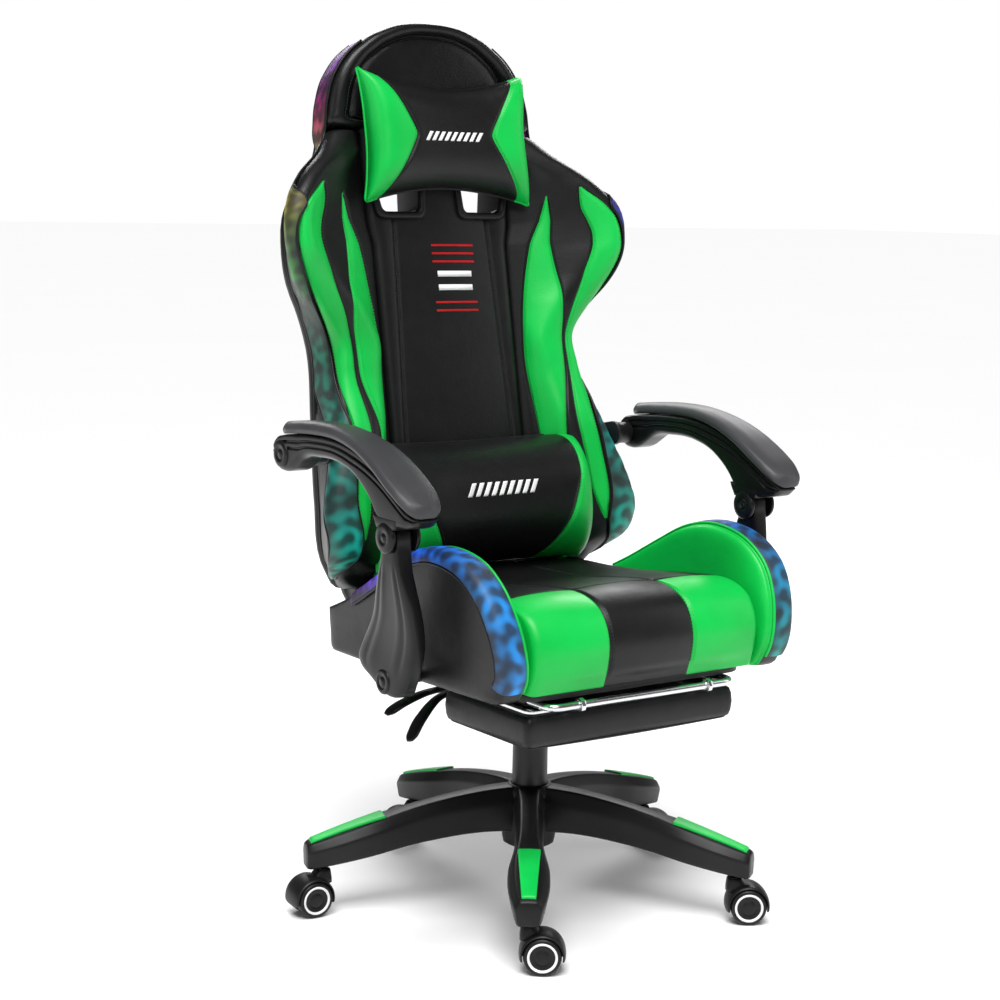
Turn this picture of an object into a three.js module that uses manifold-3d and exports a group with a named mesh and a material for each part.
// Gaming chair: five-leg base on twin-wheel casters, gas lift, racing-style seat with a pull-out
// footrest, and a reclining bolstered backrest whose armrests stay level on a parallel linkage.
// Millimetres, +Z up, the chair faces -Y and the sitter's left is +X. The root group puts the
// origin on the floor under the middle of the chair.
import * as THREE from 'three';
import { mergeVertices } from 'three/addons/utils/BufferGeometryUtils.js';
import Module from 'manifold-3d';

const wasm = await Module();
wasm.setup();

// ---------------------------------------------------------------- driving dimensions
const GAP = 0.4;                       // clearance between touching pieces
const COLUMN_Y = -31.6;                // puts the origin under the middle of the whole chair

const LEGS = 5;
const FIRST_LEG_DEG = -36;             // measured from straight ahead, towards -X
const LEG_REACH = 324;
const STEM_REACH = 300;                // caster stems from the column's axis
const HUB_RADIUS = 38;
const HUB_TOP = 166;

const WHEEL_RADIUS = 25;
const WHEEL_WIDTH = 18;
const WHEEL_HALF_GAP = 5;
const CASTER_TRAIL = 19;
const CASTER_HEADINGS_DEG = [-36, -33, -30, 176, 176];   // where each wheel trails, from +X

const CYLINDER_RADIUS = 25;
const CYLINDER_TOP = 300;
const ROD_RADIUS = 14;

const SEAT_BOTTOM = 353;
const SEAT_INNER = 188;                // half width of the pan and of the flat seat cushion
const SIDE_PLATE = 4;                  // thickness of the steel plates that carry the back
const WING_THICKNESS = 46;

const HINGE = { y: 190, z: 440 };      // recline axis
const RECLINE_DEG = 11;                // lean of the back at rest
const ARM_REAR = { y: 146, z: 638 };   // armrest pivot on the back
const ARM_FRONT = { y: -118, z: 560 }; // armrest pivot on the post
const ARM_X = 302;                     // middle of each armrest
const POST_FOOT = {                    // closes the parallelogram hinge - arm - post
  y: ARM_FRONT.y - (ARM_REAR.y - HINGE.y),
  z: ARM_FRONT.z - (ARM_REAR.z - HINGE.z),
};

const RAIL_X = 155;
const RAIL_RADIUS = 5;
const FOOTREST_AXIS = { y: -252, z: 345.5 };
const FOOTREST = { halfWidth: 175, front: -230, rear: -38, bottom: 286, top: 334 };

const BACK_REAR = 28;                  // depth of the back behind the hinge plane
const COVER_FRONT = 5;                 // where the rear cover meets the upholstery
const PANEL_FACE = -39;
const PANEL_HALF = 138;
const HOLE = { inner: 40, outer: 106, low: 527, high: 573, wall: 9 };

// half width of the back at its rear edge and at the bolsters' front edge, by height up the back
const REAR_HALF_WIDTH = through([
  [-10, 202], [30, 220], [115, 222], [230, 216], [342, 213], [387, 222], [432, 236], [480, 239],
  [540, 228], [572, 208], [606, 178], [642, 166], [686, 160], [727, 145], [766, 109], [790, 66],
]);
const FRONT_HALF_WIDTH = through([
  [-8, 204], [8, 224], [32, 252], [70, 266], [115, 260], [175, 238], [236, 216], [300, 201], [342, 199],
  [387, 230], [432, 272], [480, 288], [540, 276], [572, 250], [606, 208], [642, 172],
]);
const BOLSTER_FRONT = through([
  [-8, -42], [9, -46], [32, -84], [62, -101], [120, -102], [200, -96], [300, -88], [342, -87], [400, -101], [480, -113],
  [540, -108], [580, -90], [620, -64], [642, -48],
]);
const BACK_TOP = 803;
const NECK = 644;                      // the head starts here and leans forward of the back
const HEAD_LEAN = 0.125;               // how far forward for each unit of height above the neck
const LED_WIDTH = through([             // down the bolster's side, narrow ahead of the arm bracket
  [62, 50], [100, 46], [150, 30], [205, 30], [260, 48], [420, 52], [480, 45], [560, 30],
]);
const BRACKET_FOOT_Y = -34;            // where the armrest bracket enters the back's side
const HEAD_PILLOW = {
  halfWidth: 143, low: 534, high: 726, rearY: PANEL_FACE - 12, depth: 54, waist: 0.26, lift: 8,
};
const LUMBAR_PILLOW = {
  halfWidth: 178, low: 20, high: 186, rearY: PANEL_FACE - 5, depth: 86, waist: 0.06, lift: 30,
};
const HEAD_FLARE = 12;                 // the head's face is wider than its back by this each side

// ---------------------------------------------------------------- finishes
const FINISH = {
  nylon: { color: 0x141415, roughness: 0.55, metalness: 0 },
  green: { color: 0x0ad24a, roughness: 0.4, metalness: 0 },
  blackLeather: { color: 0x1a1a1b, roughness: 0.45, metalness: 0 },
  greenLeather: { color: 0x10c848, roughness: 0.4, metalness: 0 },
  paintedSteel: { color: 0x18181a, roughness: 0.45, metalness: 0.6 },
  zincSteel: { color: 0xc8cacc, roughness: 0.3, metalness: 0.9 },
  wheel: { color: 0xe8e8e8, roughness: 0.5, metalness: 0 },
  ledBand: { color: 0x1470c0, roughness: 0.5, metalness: 0 },
  padSkin: { color: 0x4a4a4c, roughness: 0.4, metalness: 0 },
};

// ---------------------------------------------------------------- making and placing solids
function through(stations) {
  // a smooth curve through [position, value] pairs, flat beyond both ends
  const last = stations.length - 1;
  const slope = (k) => {
    const before = stations[Math.max(k - 1, 0)];
    const after = stations[Math.min(k + 1, last)];
    return (after[1] - before[1]) / (after[0] - before[0]);
  };
  return (at) => {
    if (at <= stations[0][0]) return stations[0][1];
    if (at >= stations[last][0]) return stations[last][1];
    const k = stations.findIndex(([position]) => position > at) - 1;
    const [startAt, start] = stations[k];
    const [endAt, end] = stations[k + 1];
    const span = endAt - startAt;
    const t = (at - startAt) / span;
    const t2 = t * t;
    const t3 = t2 * t;
    return start * (2 * t3 - 3 * t2 + 1) + end * (3 * t2 - 2 * t3)
      + span * (slope(k) * (t3 - 2 * t2 + t) + slope(k + 1) * (t3 - t2));
  };
}

function welded(geometry) {
  geometry.deleteAttribute('normal');
  geometry.deleteAttribute('uv');
  return mergeVertices(geometry, 1e-3);
}

function solid(geometry) {
  const clean = welded(geometry);
  return new wasm.Manifold(new wasm.Mesh({
    numProp: 3,
    vertProperties: new Float32Array(clean.attributes.position.array),
    triVerts: new Uint32Array(clean.index.array),
  }));
}

function geometryOf(manifold) {
  const { vertProperties, triVerts, numProp } = manifold.getMesh();
  const geometry = new THREE.BufferGeometry();
  const positions = new Float32Array((vertProperties.length / numProp) * 3);
  for (let i = 0; i < positions.length / 3; i += 1) {
    positions.set(vertProperties.subarray(i * numProp, i * numProp + 3), i * 3);
  }
  geometry.setAttribute('position', new THREE.BufferAttribute(positions, 3));
  geometry.setIndex(new THREE.BufferAttribute(new Uint32Array(triVerts), 1));
  return geometry;
}

function join(...geometries) {
  return geometryOf(geometries.map(solid).reduce((sum, next) => sum.add(next)));
}

function cut(geometry, ...tools) {
  return geometryOf(tools.map(solid).reduce((rest, tool) => rest.subtract(tool), solid(geometry)));
}

function facingOut(geometry) {
  // turns every triangle round when the body's volume comes out negative
  const { position } = geometry.attributes;
  const { array } = geometry.index;
  const [a, b, c] = [new THREE.Vector3(), new THREE.Vector3(), new THREE.Vector3()];
  let volume = 0;
  for (let i = 0; i < array.length; i += 3) {
    a.fromBufferAttribute(position, array[i]);
    b.fromBufferAttribute(position, array[i + 1]);
    c.fromBufferAttribute(position, array[i + 2]);
    volume += a.dot(b.cross(c));
  }
  if (volume < 0) {
    for (let i = 0; i < array.length; i += 3) {
      [array[i + 1], array[i + 2]] = [array[i + 2], array[i + 1]];
    }
  }
  return geometry;
}

function loft(rings) {
  // a closed skin over rings of equal length, each end closed by a fan to its middle
  const count = rings[0].length;
  const points = rings.flat();
  const indices = [];
  for (let r = 0; r < rings.length - 1; r += 1) {
    for (let i = 0; i < count; i += 1) {
      const a = r * count + i;
      const b = r * count + ((i + 1) % count);
      indices.push(a, b, b + count, a, b + count, a + count);
    }
  }
  for (const [start, flipped] of [[0, true], [(rings.length - 1) * count, false]]) {
    const middle = points.length;
    const ring = points.slice(start, start + count);
    points.push([0, 1, 2].map((axis) => ring.reduce((sum, p) => sum + p[axis], 0) / count));
    for (let i = 0; i < count; i += 1) {
      const a = start + i;
      const b = start + ((i + 1) % count);
      indices.push(...(flipped ? [b, a, middle] : [a, b, middle]));
    }
  }
  const geometry = new THREE.BufferGeometry();
  geometry.setAttribute('position', new THREE.Float32BufferAttribute(points.flat(), 3));
  geometry.setIndex(indices);
  return facingOut(geometry);
}

function bent(geometry, move) {
  const { position } = geometry.attributes;
  const point = new THREE.Vector3();
  for (let i = 0; i < position.count; i += 1) {
    point.fromBufferAttribute(position, i);
    move(point);
    position.setXYZ(i, point.x, point.y, point.z);
  }
  return geometry;
}

function mirrored(geometry) {
  return facingOut(bent(welded(geometry.clone()), (p) => { p.x = -p.x; }));
}

function thick(shape, depth, bevel = 0, curveSegments = 3, bevelSegments = 2) {
  // the finished slab runs from z = 0 to z = depth, the bevel inside the outline
  const geometry = new THREE.ExtrudeGeometry(shape, {
    depth: depth - 2 * bevel,
    bevelEnabled: bevel > 0,
    bevelThickness: bevel,
    bevelSize: bevel,
    bevelOffset: -bevel,
    bevelSegments,
    curveSegments,
  });
  return geometry.translate(0, 0, bevel);
}

function sideways(geometry, x) {
  // a slab drawn in (y, z) stands upright with its thickness running from x towards +X
  const turn = new THREE.Matrix4().makeBasis(
    new THREE.Vector3(0, 1, 0), new THREE.Vector3(0, 0, 1), new THREE.Vector3(1, 0, 0),
  );
  return geometry.applyMatrix4(turn).translate(x, 0, 0);
}

function standing(geometry, rearY) {
  // a slab drawn in (x, z) stands upright with its thickness running from rearY towards -Y
  return geometry.rotateX(Math.PI / 2).translate(0, rearY, 0);
}

function outline(points, closedSpline = false) {
  const shape = new THREE.Shape();
  if (closedSpline) {
    const curve = new THREE.CatmullRomCurve3(
      points.map(([u, v]) => new THREE.Vector3(u, v, 0)), true, 'centripetal',
    );
    shape.setFromPoints(curve.getPoints(points.length * 3).slice(0, -1));
  } else {
    shape.setFromPoints(points.map(([u, v]) => new THREE.Vector2(u, v)));
  }
  return shape;
}

function roundedBox(low, high, radius) {
  const shape = new THREE.Shape();
  shape.absarc(high[0] - radius, low[1] + radius, radius, -Math.PI / 2, 0);
  shape.absarc(high[0] - radius, high[1] - radius, radius, 0, Math.PI / 2);
  shape.absarc(low[0] + radius, high[1] - radius, radius, Math.PI / 2, Math.PI);
  shape.absarc(low[0] + radius, low[1] + radius, radius, Math.PI, 1.5 * Math.PI);
  return shape;
}

function block(low, high) {
  const size = high.map((value, axis) => value - low[axis]);
  const middle = high.map((value, axis) => (value + low[axis]) / 2);
  return new THREE.BoxGeometry(...size).translate(...middle);
}

function turned(profile, segments = 24) {
  // a lathe body about +Z from [radius, height] pairs
  const points = profile.map(([radius, height]) => new THREE.Vector2(radius, height));
  return facingOut(welded(new THREE.LatheGeometry(points, segments).rotateX(Math.PI / 2)));
}

function roundBar(radius, fromX, toX, y, z, segments = 16) {
  const bar = new THREE.CylinderGeometry(radius, radius, toX - fromX, segments);
  return bar.rotateZ(Math.PI / 2).translate((fromX + toX) / 2, y, z);
}

function tube(path, radius, planeNormal) {
  // a round tube along a flat path that lies square to planeNormal
  const spots = path.getPoints(4);
  return loft(spots.map((spot, i) => {
    const before = spots[Math.max(i - 1, 0)];
    const after = spots[Math.min(i + 1, spots.length - 1)];
    const side = after.clone().sub(before).normalize().cross(planeNormal);
    return Array.from({ length: 8 }, (_, k) => {
      const angle = (k * 2 * Math.PI) / 8;
      const point = spot.clone().addScaledVector(side, radius * Math.cos(angle));
      return point.addScaledVector(planeNormal, radius * Math.sin(angle)).toArray();
    });
  }));
}

function cornered(points, radius) {
  // straight runs joined by rounded corners
  const path = new THREE.CurvePath();
  const corners = points.map((p) => new THREE.Vector3(...p));
  let start = corners[0];
  for (let i = 1; i < corners.length - 1; i += 1) {
    const into = corners[i - 1].clone().sub(corners[i]).setLength(radius).add(corners[i]);
    const out = corners[i + 1].clone().sub(corners[i]).setLength(radius).add(corners[i]);
    path.add(new THREE.LineCurve3(start, into));
    path.add(new THREE.QuadraticBezierCurve3(into, corners[i], out));
    start = out;
  }
  path.add(new THREE.LineCurve3(start, corners.at(-1)));
  return path;
}

function piece(parent, name, geometry, finish) {
  const mesh = new THREE.Mesh(geometry, new THREE.MeshStandardMaterial(FINISH[finish]));
  mesh.name = name;
  parent.add(mesh);
  return mesh;
}

function pair(parent, name, geometry, finish) {
  // the geometry given is the +X one, which is on the sitter's left
  piece(parent, `${name}_left`, geometry, finish);
  piece(parent, `${name}_right`, mirrored(geometry), finish);
}

const radians = THREE.MathUtils.degToRad;

// ---------------------------------------------------------------- five-leg base
const legTop = through([[0, 166], [60, 163], [140, 151], [216, 133], [270, 118], [LEG_REACH, 101]]);
const legBottom = through([[0, 98], [70, 101], [150, 94], [240, 79], [LEG_REACH, 65]]);
const legHalfWidth = through([[0, 24], [130, 20], [180, 21], [238, 28], [276, 27], [LEG_REACH, 19]]);

function leg() {
  // lies along +X: a flat top strip, facets down to the widest line, and a narrower underside
  const stations = [12, 60, 110, 160, 205, 238, 276, LEG_REACH];
  return loft(stations.map((reach) => {
    const half = legHalfWidth(reach);
    const top = legTop(reach);
    const low = legBottom(reach);
    const shoulder = top - 0.34 * (top - low);
    return [
      [reach, -0.62 * half, top], [reach, 0.62 * half, top], [reach, half, shoulder],
      [reach, 0.76 * half, low], [reach, -0.76 * half, low], [reach, -half, shoulder],
    ];
  }));
}

function legInsert() {
  const innerReach = 214;
  const outerReach = 318;
  const thickness = 2.6;
  const stations = [0, 0.25, 0.5, 0.75, 1].map((t) => innerReach + t * (outerReach - innerReach));
  return loft(stations.map((reach) => {
    const t = (reach - innerReach) / (outerReach - innerReach);
    const half = THREE.MathUtils.lerp(15, 9.5, t);
    const low = legTop(reach) + GAP;
    return [
      [reach, -half, low], [reach, half, low],
      [reach, half - 0.8, low + thickness], [reach, -half + 0.8, low + thickness],
    ];
  }));
}

const legAngle = (index) => radians(FIRST_LEG_DEG - 90 + (index * 360) / LEGS);

function starBase() {
  const socket = turned([[0, 40], [5.9, 40], [5.9, 98], [0, 98]], 10).translate(STEM_REACH, 0, 0);
  const drilled = cut(leg(), socket);
  const hub = turned([
    [0, 78], [33, 78], [HUB_RADIUS - 2, 92], [HUB_RADIUS, 110], [HUB_RADIUS, HUB_TOP - 8],
    [HUB_RADIUS - 5, HUB_TOP], [0, HUB_TOP],
  ], 20);
  const bore = turned([[0, 70], [24.4, 70], [CYLINDER_RADIUS + GAP, 175], [0, 175]]);
  const arms = Array.from({ length: LEGS }, (_, index) => drilled.clone().rotateZ(legAngle(index)));
  return cut(join(hub, ...arms), bore);
}

// ---------------------------------------------------------------- casters
function casterFork() {
  // stands at the stem's axis, the wheels trailing towards +X
  const hoodInner = WHEEL_RADIUS + 1.6;
  const hoodOuter = WHEEL_RADIUS + 5.6;
  const hoodHalf = WHEEL_HALF_GAP + WHEEL_WIDTH - 3;
  const guard = new THREE.Shape();
  guard.absarc(0, 0, hoodOuter, radians(-12), radians(180));
  guard.lineTo(-hoodOuter, -14);
  guard.lineTo(-hoodInner, -14);
  guard.absarc(0, 0, hoodInner, radians(180), radians(-12), true);
  const web = new THREE.Shape();
  web.absarc(0, 0, hoodInner + 1, 0, Math.PI);
  web.lineTo(-12, -12);
  web.lineTo(12, -12);
  const upright = (shape, half) => thick(shape, 2 * half, 0, 4)
    .translate(0, 0, -half).rotateX(Math.PI / 2).translate(CASTER_TRAIL, 0, WHEEL_RADIUS);
  const shoulder = block([-9, -11, 44], [16, 11, 61]);
  const stem = turned([[0, 50], [9, 50], [9, 63.4], [5.5, 63.4], [5.5, 92], [4, 95], [0, 95]], 10);
  const axleBore = new THREE.CylinderGeometry(4.4, 4.4, 40, 10).translate(CASTER_TRAIL, 0, WHEEL_RADIUS);
  const body = join(upright(guard, hoodHalf), upright(web, WHEEL_HALF_GAP - 1), shoulder, stem);
  const wheelRoom = [-1, 1].map((side) => new THREE.CylinderGeometry(hoodInner, hoodInner, 30, 16)
    .translate(CASTER_TRAIL, side * (15 + WHEEL_HALF_GAP - 1), WHEEL_RADIUS));
  return cut(body, axleBore, ...wheelRoom);
}

function casterWheel(side) {
  const inner = WHEEL_HALF_GAP;
  const outer = inner + WHEEL_WIDTH;
  const wheel = turned([
    [0, GAP], [4, GAP], [4, inner], [WHEEL_RADIUS, inner], [WHEEL_RADIUS, outer - 3],
    [WHEEL_RADIUS - 3, outer], [0, outer],
  ], 18);
  return wheel.rotateX(side * -Math.PI / 2).translate(CASTER_TRAIL, 0, WHEEL_RADIUS);
}

function addCasters(parent) {
  for (let index = 0; index < LEGS; index += 1) {
    const caster = new THREE.Group();
    const angle = legAngle(index);
    caster.position.set(STEM_REACH * Math.cos(angle), STEM_REACH * Math.sin(angle), 0);
    caster.rotation.z = radians(CASTER_HEADINGS_DEG[index]);
    piece(caster, `caster_fork_${index + 1}`, casterFork(), 'nylon');
    piece(caster, `caster_wheel_${index + 1}_left`, casterWheel(1), 'wheel');
    piece(caster, `caster_wheel_${index + 1}_right`, casterWheel(-1), 'wheel');
    parent.add(caster);
  }
}

// ---------------------------------------------------------------- gas lift
const cylinder = turned([
  [0, 72], [22, 72], [23.9, 78], [CYLINDER_RADIUS - 0.1, 160], [CYLINDER_RADIUS, 190],
  [CYLINDER_RADIUS, CYLINDER_TOP - 2], [CYLINDER_RADIUS - 2, CYLINDER_TOP], [18.6, CYLINDER_TOP],
  [18.6, 100], [0, 100],
]);
const bushing = turned([
  [ROD_RADIUS + 0.5, 262], [18.2, 262], [18.2, CYLINDER_TOP + GAP], [23, CYLINDER_TOP + GAP],
  [23, CYLINDER_TOP + 3.2], [ROD_RADIUS + 0.5, CYLINDER_TOP + 3.2], [ROD_RADIUS + 0.5, 262],
]);
const rod = turned([
  [0, 128], [18, 128], [18, 140], [ROD_RADIUS, 144], [ROD_RADIUS, 318], [12.5, 342], [0, 342],
]);

// ---------------------------------------------------------------- seat underside
const LEVER_Z = 319;
const LEVERS = [
  { name: 'height_lever', y: 4, end: [-252, 8, 287] },
  { name: 'recline_lever', y: -20, end: [-252, -58, 258] },
];
const LEVER_PIVOT_X = -36;

function tiltMechanism() {
  const plate = thick(roundedBox([-95, -55], [95, 132], 14), 5.2).translate(0, 0, 347.4);
  const box = thick(roundedBox([-40, -31], [40, 124], 10), 36).translate(0, 0, 312);
  const socket = turned([[0, 306], [22, 306], [25, 309], [25, 330], [0, 330]]);
  const bore = turned([[0, 300], [14.6, 300], [14.6, 319], [13.2, 343.5], [0, 343.5]]);
  const slots = LEVERS.map(({ y }) => block([-44, y - 7, LEVER_Z - 7], [-26, y + 7, LEVER_Z + 8]));
  const holes = [[-75, -35], [75, -35], [-75, 112], [75, 112]]
    .map(([x, y]) => turned([[0, 340], [4.2, 340], [4.2, 360], [0, 360]], 8).translate(x, y, 0));
  return cut(join(plate, box, socket), bore, ...slots, ...holes);
}

function lever({ y, end }) {
  // a bent rod with a flat paddle on its outer end
  const [endX, endY, endZ] = end;
  const path = new THREE.CatmullRomCurve3([
    new THREE.Vector3(LEVER_PIVOT_X + 6, y, LEVER_Z),
    new THREE.Vector3(-120, y, LEVER_Z),
    new THREE.Vector3(-172, y + 0.15 * (endY - y), LEVER_Z - 2),
    new THREE.Vector3(-212, y + 0.5 * (endY - y), LEVER_Z + 0.4 * (endZ - LEVER_Z)),
    new THREE.Vector3(endX + 14, y + 0.86 * (endY - y), LEVER_Z + 0.8 * (endZ - LEVER_Z)),
  ]);
  const width = through([[0, 4.6], [0.5, 4.6], [0.64, 7], [0.8, 10.5], [0.95, 11], [1, 7]]);
  const height = through([[0, 4.6], [0.5, 4.6], [0.66, 4], [0.85, 3.2], [1, 2.4]]);
  const across = new THREE.Vector3(0, 1, 0);
  const stations = Array.from({ length: 14 }, (_, i) => i / 13);
  return loft(stations.map((t) => {
    const middle = path.getPointAt(t);
    const along = path.getTangentAt(t);
    const side = across.clone().addScaledVector(along, -across.dot(along)).normalize();
    const up = along.clone().cross(side);
    return Array.from({ length: 8 }, (_, k) => {
      const angle = (k * 2 * Math.PI) / 8;
      const point = middle.clone().addScaledVector(side, width(t) * Math.cos(angle));
      return point.addScaledVector(up, height(t) * Math.sin(angle)).toArray();
    });
  }));
}

// ---------------------------------------------------------------- footrest
const guide = turned([
  [RAIL_RADIUS + 0.5, 0], [RAIL_RADIUS + 2.1, 0], [RAIL_RADIUS + 2.1, 180],
  [RAIL_RADIUS + 0.5, 180], [RAIL_RADIUS + 0.5, 0],
], 16).rotateX(Math.PI / 2).translate(RAIL_X, -25, FOOTREST_AXIS.z);

const footrestFrame = tube(cornered([
  [-RAIL_X, 138, FOOTREST_AXIS.z], [-RAIL_X, FOOTREST_AXIS.y, FOOTREST_AXIS.z],
  [RAIL_X, FOOTREST_AXIS.y, FOOTREST_AXIS.z], [RAIL_X, 138, FOOTREST_AXIS.z],
], 20), RAIL_RADIUS, new THREE.Vector3(0, 0, 1));

function footrestTray() {
  const { halfWidth, front, rear, top } = FOOTREST;
  const inset = 4;
  const plan = roundedBox([-halfWidth + inset, front + 3], [halfWidth - inset, rear - inset], 12);
  const plate = thick(plan, 3.4).translate(0, 0, top + GAP);
  const lugs = [-110, 104].map((x) => {
    const shape = new THREE.Shape();
    shape.absarc(FOOTREST_AXIS.y, FOOTREST_AXIS.z, 9, 0, 1.5 * Math.PI);
    shape.lineTo(front + 20, top + 1);
    shape.lineTo(front + 20, top + 3.6);
    shape.lineTo(FOOTREST_AXIS.y + 9, top + 3.6);
    return sideways(thick(shape, 6), x);
  });
  const eye = roundBar(RAIL_RADIUS + 0.6, -130, 130, FOOTREST_AXIS.y, FOOTREST_AXIS.z);
  return cut(join(plate, ...lugs), eye);
}

function footrestPad() {
  const { halfWidth, front, rear, bottom, top } = FOOTREST;
  return thick(roundedBox([-halfWidth, front], [halfWidth, rear], 14), top - bottom, 6)
    .translate(0, 0, bottom);
}

// ---------------------------------------------------------------- seat
function seatCushion() {
  const shape = outline([
    [141, 364], [141, 444], [130, 452], [60, 453], [-20, 459], [-90, 467], [-160, 474],
    [-205, 474], [-234, 465], [-252, 447], [-261, 420], [-257, 388], [-250, 364],
  ]);
  return sideways(thick(shape, 2 * SEAT_INNER, 6), -SEAT_INNER);
}

const WING_INNER_X = SEAT_INNER + SIDE_PLATE + 1.6;
const wingCrest = [   // front bottom, round the nose, over the crest and down to the rear
  [-250, 364], [-266, 392], [-268, 424], [-258, 462], [-236, 498], [-200, 524], [-158, 536],
  [-112, 537], [-62, 524], [-8, 497], [52, 464], [110, 436], [163, 415],
];
const wingCurve = new THREE.SplineCurve(wingCrest.map(([y, z]) => new THREE.Vector2(y, z)));
const wingLean = (z) => 14 * THREE.MathUtils.smoothstep(z, 370, 520);

function seatWing() {
  const shape = outline([...wingCurve.getPoints(26).map((p) => [p.x, p.y]), [163, 353], [-236, 358]]);
  const slab = sideways(thick(shape, WING_THICKNESS, 7), WING_INNER_X);
  const leaning = facingOut(bent(welded(slab), (p) => { p.x += wingLean(p.z); }));
  const boltRoom = roundBar(8, 180, 280, POST_FOOT.y, POST_FOOT.z);
  return cut(leaning, boltRoom);
}

function seatLedStrip() {
  // a thin ribbon on the wing's rim, from the nose over the crest
  const low = 1.3;
  const high = 3.8;
  const samples = Array.from({ length: 25 }, (_, i) => 0.04 + (0.8 * i) / 24);
  const offset = (t, distance) => {
    const at = wingCurve.getPointAt(t);
    const along = wingCurve.getTangentAt(t);
    return [at.x - along.y * distance, at.y + along.x * distance];
  };
  const ring = [
    ...samples.map((t) => offset(t, high)), ...samples.toReversed().map((t) => offset(t, low)),
  ];
  const band = sideways(thick(outline(ring), 24), WING_INNER_X + 13);
  return facingOut(bent(welded(band), (p) => { p.x += wingLean(p.z); }));
}

function sidePlate() {
  // steel plate from the arm post's bolt to the recliner pivot
  const eye = 18;
  const shape = new THREE.Shape();
  shape.moveTo(-132, 357);
  shape.lineTo(128, 357);
  shape.lineTo(HINGE.y + 8, HINGE.z - 17);
  shape.absarc(HINGE.y, HINGE.z, eye, radians(-50), radians(135));
  shape.lineTo(104, 396);
  shape.lineTo(-132, 396);
  const holes = [
    roundBar(8.5, 150, 250, HINGE.y, HINGE.z),
    roundBar(7.6, 150, 250, POST_FOOT.y, POST_FOOT.z),
  ];
  return cut(sideways(thick(shape, SIDE_PLATE), SEAT_INNER + 0.8), ...holes);
}

const seatPan = thick(roundedBox([-SEAT_INNER, -238], [SEAT_INNER, 150], 30), 10)
  .translate(0, 0, SEAT_BOTTOM);

// ---------------------------------------------------------------- backrest (hinge at its origin)
const recliner = (radius, from, to) => roundBar(radius, from, to, 0, 0, 20);

// room in the upholstery for the side plate over the whole recline, on one side of the chair
const plateRoom = (side) => [
  recliner(22, side * 188 - 11, side * 188 + 11),
  block([side * 188 - 11, -130, -30], [side * 188 + 11, 0, 21]),
];

function withLeaningHead(geometry) {
  // the part above the neck is sheared forward, which keeps its flat faces flat
  const body = cut(geometry, block([-400, -400, NECK], [400, 400, 1000]));
  const head = cut(geometry, block([-400, -400, -400], [400, 400, NECK]));
  return join(body, bent(head, (p) => { p.y -= HEAD_LEAN * (p.z - NECK); }));
}

function tubeFrame() {
  const depth = 14;
  const radius = 7.5;
  const upper = tube(cornered([
    [-178, depth, 12], [-178, depth, 70], [-131, depth, 130], [-131, depth, 700],
    [131, depth, 700], [131, depth, 130], [178, depth, 70], [178, depth, 12],
  ], 34), radius, new THREE.Vector3(0, 1, 0));
  const crossbars = [165, 430].map((z) => roundBar(6, -131, 131, depth, z, 10));
  const lugs = [-1, 1].map((side) => {
    const plate = new THREE.Shape();
    plate.absarc(0, 0, 18, Math.PI, 1.9 * Math.PI);
    plate.lineTo(22, 34);
    plate.lineTo(8, 34);
    plate.lineTo(6, 17);
    const x = side > 0 ? 180.5 : -185.5;
    const pin = side > 0 ? recliner(8, 183, 192.6) : recliner(8, -192.6, -183);
    return join(sideways(thick(plate, 5), x), pin);
  });
  return join(withLeaningHead(upper), ...crossbars, ...lugs);
}

function holeShape(margin, direction) {
  // harness opening, wider at its top, on the side given
  const { inner, outer, low, high } = HOLE;
  const corners = [
    [inner - margin, low - margin], [outer - 5 + margin, low - margin],
    [outer + 6 + margin, high + margin], [inner - 4 - margin, high + margin],
  ].map(([x, z]) => new THREE.Vector2(direction * x, z));
  const path = new THREE.Path();
  const round = 8 + margin / 2;
  corners.forEach((corner, i) => {
    const before = corners.at(i - 1).clone().sub(corner).setLength(round).add(corner);
    const after = corners[(i + 1) % 4].clone().sub(corner).setLength(round).add(corner);
    if (i === 0) path.moveTo(before.x, before.y);
    else path.lineTo(before.x, before.y);
    path.quadraticCurveTo(corner.x, corner.y, after.x, after.y);
  });
  path.closePath();
  return path;
}

function backOutline(inset, lowest) {
  const shape = new THREE.Shape();
  const heights = [lowest, 10, 30, 70, 115, 170, 230, 290, 342, 365, 387, 410, 432, 455, 480, 510,
    540, 558, 572, 590, 606, 624, 642, 664, 686, 708, 727, 748, 766, 780, 791];
  const right = heights.map((z) => new THREE.Vector2(REAR_HALF_WIDTH(z) - inset, z + (z < 0 ? inset : 0)));
  const crown = [new THREE.Vector2(34, BACK_TOP - 2 - inset), new THREE.Vector2(0, BACK_TOP - inset)];
  const half = [...right, ...crown];
  shape.setFromPoints([
    ...half, ...half.slice(0, -1).reverse().map((p) => new THREE.Vector2(-p.x, p.y)),
  ]);
  return shape;
}

function backCover() {
  // a shell that closes the back, its pocket holding the tube frame
  const wall = 5;
  const outer = backOutline(0, -10);
  outer.holes.push(holeShape(HOLE.wall + 2 * GAP, 1), holeShape(HOLE.wall + 2 * GAP, -1));
  const pocket = backOutline(12, -10);
  pocket.holes.push(holeShape(HOLE.wall + 2, 1), holeShape(HOLE.wall + 2, -1));
  const depth = BACK_REAR - COVER_FRONT;
  const bevel = 6;
  const shell = standing(thick(outer, depth + bevel, bevel), BACK_REAR);
  const front = block([-400, COVER_FRONT - 2 * bevel, -100], [400, COVER_FRONT, 900]);
  const hollow = standing(thick(pocket, depth - wall + 2), BACK_REAR - wall);
  return withLeaningHead(cut(shell, front, hollow, ...plateRoom(1), ...plateRoom(-1)));
}

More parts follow.
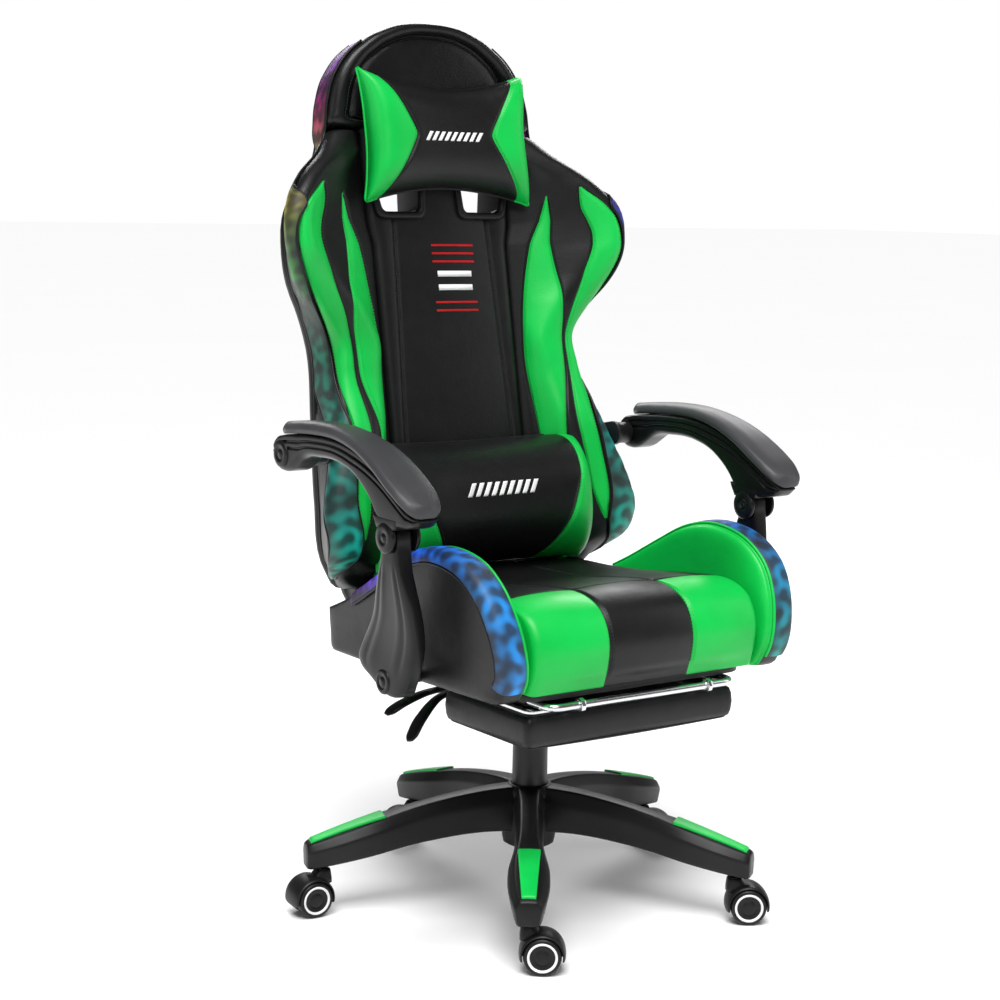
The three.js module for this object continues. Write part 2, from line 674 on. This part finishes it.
function backCushion() {
  const shape = new THREE.Shape();
  const heads = [NECK, 664, 686, 708, 727, 748, 766, 780, 791];
  const side = [
    new THREE.Vector2(PANEL_HALF, 4), new THREE.Vector2(PANEL_HALF, NECK - 2),
    ...heads.map((z) => new THREE.Vector2(REAR_HALF_WIDTH(z) + HEAD_FLARE, z)),
    new THREE.Vector2(34, BACK_TOP - 3), new THREE.Vector2(0, BACK_TOP - 1),
  ];
  shape.setFromPoints([
    ...side, ...side.slice(0, -1).reverse().map((p) => new THREE.Vector2(-p.x, p.y)),
  ]);
  shape.holes.push(holeShape(HOLE.wall + 2 * GAP, 1), holeShape(HOLE.wall + 2 * GAP, -1));
  const depth = COVER_FRONT - GAP - PANEL_FACE;
  const slab = standing(thick(shape, depth, 3), COVER_FRONT - GAP);
  return withLeaningHead(bent(slab, (p) => {
    if (p.z > NECK - 1) p.x *= 1 - (HEAD_FLARE / 150) * ((p.y - PANEL_FACE) / depth);
  }));
}

const WING_STATIONS = [-8, 8, 30, 62, 100, 150, 205, 260, 310, 345, 372, 400, 432, 470, 510, 545,
  572, 596, 620, 642];

function bolsterEdge(z) {
  // the bolster's outermost front edge and the rear edge of its side at one height
  const front = [FRONT_HALF_WIDTH(z), BOLSTER_FRONT(z) + 17];
  return { front, rear: [REAR_HALF_WIDTH(z), COVER_FRONT - GAP] };
}

function backWing() {
  const inner = PANEL_HALF + GAP;
  const skin = loft(WING_STATIONS.map((z) => {
    const { front, rear } = bolsterEdge(z);
    const forward = BOLSTER_FRONT(z);
    const ridge = Math.max(front[0] - 22, inner + 14);
    const slope = Math.max(front[0] - 66, inner + 6);
    return [
      [inner, rear[1]], [inner, PANEL_FACE + 4], [slope, 0.35 * PANEL_FACE + 0.65 * forward],
      [ridge, forward], [front[0] - 5, forward + 5], front, rear,
    ].map(([x, y]) => [x, y, z]);
  }));
  const spigotRoom = roundBar(12.6, 190, 260, BRACKET_FOOT_Y, armPivot().z);
  return cut(skin, ...plateRoom(1), spigotRoom);
}

function backLedStrip() {
  const heights = WING_STATIONS.filter((z) => z >= 62 && z <= 596);
  return loft(heights.map((z) => {
    const { front, rear } = bolsterEdge(z);
    const along = new THREE.Vector2(rear[0] - front[0], rear[1] - front[1]).normalize();
    const out = new THREE.Vector2(along.y, -along.x);
    const at = (run, lift) => [
      front[0] + along.x * run + out.x * lift, front[1] + along.y * run + out.y * lift, z,
    ];
    const width = LED_WIDTH(z);
    return [at(3, 3.9), at(width, 3.9), at(width, 6.2), at(3, 6.2)];
  }));
}

function harnessBezel() {
  const ring = holeShape(HOLE.wall, 1);
  const shape = new THREE.Shape(ring.getPoints(4));
  shape.holes.push(holeShape(0, 1));
  return standing(thick(shape, BACK_REAR - PANEL_FACE + 6, 0, 4), BACK_REAR + 3);
}

function pillow({ halfWidth, low, high, rearY, depth, waist, lift }) {
  // a closed soft form, pinched by "waist" in its middle, its ends lifted clear of the bolsters
  const stations = [-1, -0.97, -0.85, -0.6, -0.3, 0, 0.3, 0.6, 0.85, 0.97, 1];
  const middleZ = (low + high) / 2;
  return loft(stations.map((t) => {
    const roundEnd = Math.sqrt(Math.max(1 - Math.abs(t) ** 6, 0.12));
    const halfHeight = ((high - low) / 2) * (1 - waist * (1 - t * t)) * (0.86 + 0.14 * roundEnd);
    const bulge = depth * (0.55 + 0.45 * roundEnd);
    const restsAt = rearY - lift * t ** 6;
    return Array.from({ length: 14 }, (_, k) => {
      const angle = (k * 2 * Math.PI) / 14;
      const y = restsAt - (bulge / 2) * (1 + Math.cos(angle));
      return [halfWidth * t, y, middleZ + halfHeight * Math.sin(angle)];
    });
  }));
}

function armPivot() {
  // the armrest's rear pivot in the back's own frame
  return new THREE.Vector3(0, ARM_REAR.y - HINGE.y, ARM_REAR.z - HINGE.z)
    .applyAxisAngle(new THREE.Vector3(1, 0, 0), radians(RECLINE_DEG));
}

function armMount() {
  // cranked bracket: spigot into the back's side, oval plate, spacer and the armrest's shaft
  const plateX = 249;
  const plateRadius = 18;
  const pivot = armPivot();
  const oval = new THREE.Shape();
  oval.absarc(pivot.y, pivot.z, plateRadius, Math.PI / 2, 1.5 * Math.PI);
  oval.absarc(BRACKET_FOOT_Y, pivot.z, plateRadius, -Math.PI / 2, Math.PI / 2);
  const spacer = turned([
    [0, plateX + 2], [16, plateX + 2], [16, ARM_X - 24], [9, ARM_X - 24], [9, ARM_X + 16],
    [0, ARM_X + 16],
  ], 16).rotateY(Math.PI / 2).translate(0, pivot.y, pivot.z);
  const spigot = roundBar(12, 200, plateX + 2, BRACKET_FOOT_Y, pivot.z);
  return join(sideways(thick(oval, 8, 1), plateX), spacer, spigot);
}

// ---------------------------------------------------------------- armrests
const armTop = through([   // crown of the pad, from its front tip to its rear end
  [-190, 608], [-172, 622], [-138, 643], [-100, 663], [-52, 680], [0, 689], [50, 690], [100, 687],
  [148, 682],
]);
const PAD_THICKNESS = 17;
const PAD_OUTWARD = 3;                 // the pads stand a little outside their arms

function armPad() {
  const halfWidth = through([
    [-190, 12], [-186, 22], [-172, 29.5], [-148, 33], [-104, 31.5], [-46, 27], [20, 23],
    [100, 21], [142, 18], [148, 12],
  ]);
  const stations = [-190, -186, -172, -150, -126, -94, -56, -15, 30, 72, 108, 134, 144, 148];
  return loft(stations.map((y) => {
    const half = halfWidth(y);
    const fade = Math.min(1, (half - 6) / 16);
    const top = armTop(y) - 5 * (1 - fade);
    const low = armTop(y) - PAD_THICKNESS;
    return [
      [-half, low + 6], [-half + 3, low + 11], [-0.62 * half, top - 3], [0, top],
      [0.62 * half, top - 3], [half - 3, low + 11], [half, low + 6], [half - 4, low], [-half + 4, low],
    ].map(([x, z]) => [ARM_X + PAD_OUTWARD + x, y, z]);
  }));
}

function armBody() {
  const half = 22;
  const under = (y) => armTop(y) - PAD_THICKNESS - GAP - 0.6;
  const ridge = [148, 110, 72, 30, -15, -56, -94, -130, -156, -174].map((y) => [y, under(y)]);
  const profile = new THREE.Shape();
  profile.setFromPoints(ridge.map(([y, z]) => new THREE.Vector2(y, z)));
  profile.lineTo(-186, 588);
  profile.lineTo(-178, 578);
  profile.lineTo(-146, 574);
  profile.absarc(ARM_FRONT.y, ARM_FRONT.z, 21, radians(150), radians(20));
  profile.splineThru([[-86, 596], [-50, 624], [-4, 641], [50, 643], [100, 636]]
    .map(([y, z]) => new THREE.Vector2(y, z)));
  profile.absarc(ARM_REAR.y, ARM_REAR.z, 24, radians(215), radians(400));
  const slab = sideways(thick(profile, 2 * half, 4), ARM_X - half);
  // the post's eye turns in this slot: below the pin it swings both ways, ahead of it further up
  const fork = 16;
  const reach = 36;
  const [nearX, farX] = [ARM_X - fork, ARM_X + fork];
  const slot = [
    roundBar(18.5, nearX, farX, ARM_FRONT.y, ARM_FRONT.z),
    block([nearX, ARM_FRONT.y - reach, 500], [farX, ARM_FRONT.y + reach, ARM_FRONT.z - 2]),
    block([nearX, ARM_FRONT.y - reach, 520], [farX, ARM_FRONT.y, ARM_FRONT.z + 10]),
  ];
  const bore = roundBar(9.5, ARM_X - 40, ARM_X + 17, ARM_REAR.y, ARM_REAR.z);
  const pin = roundBar(5.5, ARM_X - fork - 2, ARM_X + fork + 2, ARM_FRONT.y, ARM_FRONT.z, 12);
  return join(cut(slab, ...slot, bore), pin);
}

function armPost() {
  const eye = 15.5;
  const profile = new THREE.Shape();
  profile.absarc(ARM_FRONT.y, ARM_FRONT.z, eye, radians(-20), radians(190));
  profile.splineThru([
    [-137, 520], [-146, 478], [-146, 430], [-134, 384], [-114, 350], [-92, 344], [-60, 352],
    [-22, 368], [-4, 384], [-16, 408], [-52, 450], [-78, 500], [-94, 536],
  ].map(([y, z]) => new THREE.Vector2(y, z)));
  const half = 13;
  const slab = sideways(thick(profile, 2 * half, 3, 2), ARM_X - half);
  const lean = (z) => -20 * THREE.MathUtils.smoothstep(-z, -ARM_FRONT.z + 30, -400);
  const leaning = facingOut(bent(welded(slab), (p) => { p.x += lean(p.z); }));
  const hole = roundBar(7.2, ARM_X - 40, ARM_X + 40, ARM_FRONT.y, ARM_FRONT.z, 12);
  const stub = roundBar(7, SEAT_INNER + 2.6, ARM_X - 20, POST_FOOT.y, POST_FOOT.z);
  return join(cut(leaning, hole), stub);
}

// ---------------------------------------------------------------- assembly
const chair = new THREE.Group();
chair.name = 'gaming_chair';
chair.position.set(0, COLUMN_Y, 0);

piece(chair, 'star_base', starBase(), 'nylon');
for (let index = 0; index < LEGS; index += 1) {
  piece(chair, `leg_insert_${index + 1}`, legInsert().rotateZ(legAngle(index)), 'green');
}
addCasters(chair);
piece(chair, 'gas_lift_cylinder', cylinder, 'paintedSteel');
piece(chair, 'gas_lift_bushing', bushing, 'nylon');
piece(chair, 'gas_lift_rod', rod, 'zincSteel');

piece(chair, 'tilt_mechanism', tiltMechanism(), 'paintedSteel');
for (const each of LEVERS) piece(chair, each.name, lever(each), 'nylon');
pair(chair, 'footrest_guide', guide, 'paintedSteel');
piece(chair, 'footrest_frame', footrestFrame, 'zincSteel');
piece(chair, 'footrest_tray', footrestTray(), 'zincSteel');
piece(chair, 'footrest_pad', footrestPad(), 'blackLeather');

piece(chair, 'seat_pan', seatPan, 'paintedSteel');
pair(chair, 'side_plate', sidePlate(), 'paintedSteel');
piece(chair, 'seat_cushion', seatCushion(), 'blackLeather');
pair(chair, 'seat_wing', seatWing(), 'greenLeather');
pair(chair, 'seat_led_strip', seatLedStrip(), 'ledBand');

const back = new THREE.Group();
back.position.set(0, HINGE.y, HINGE.z);
back.rotation.x = radians(-RECLINE_DEG);
chair.add(back);
piece(back, 'back_frame', tubeFrame(), 'paintedSteel');
piece(back, 'back_cushion', backCushion(), 'blackLeather');
pair(back, 'back_wing', backWing(), 'greenLeather');
piece(back, 'back_cover', backCover(), 'blackLeather');
pair(back, 'back_led_strip', backLedStrip(), 'ledBand');
pair(back, 'harness_bezel', harnessBezel(), 'nylon');
piece(back, 'head_pillow', pillow(HEAD_PILLOW), 'greenLeather');
piece(back, 'lumbar_pillow', pillow(LUMBAR_PILLOW), 'greenLeather');
pair(back, 'arm_mount', armMount(), 'paintedSteel');

pair(chair, 'armrest_body', armBody(), 'nylon');
pair(chair, 'armrest_pad', armPad(), 'padSkin');
pair(chair, 'arm_post', armPost(), 'nylon');

export default chair;
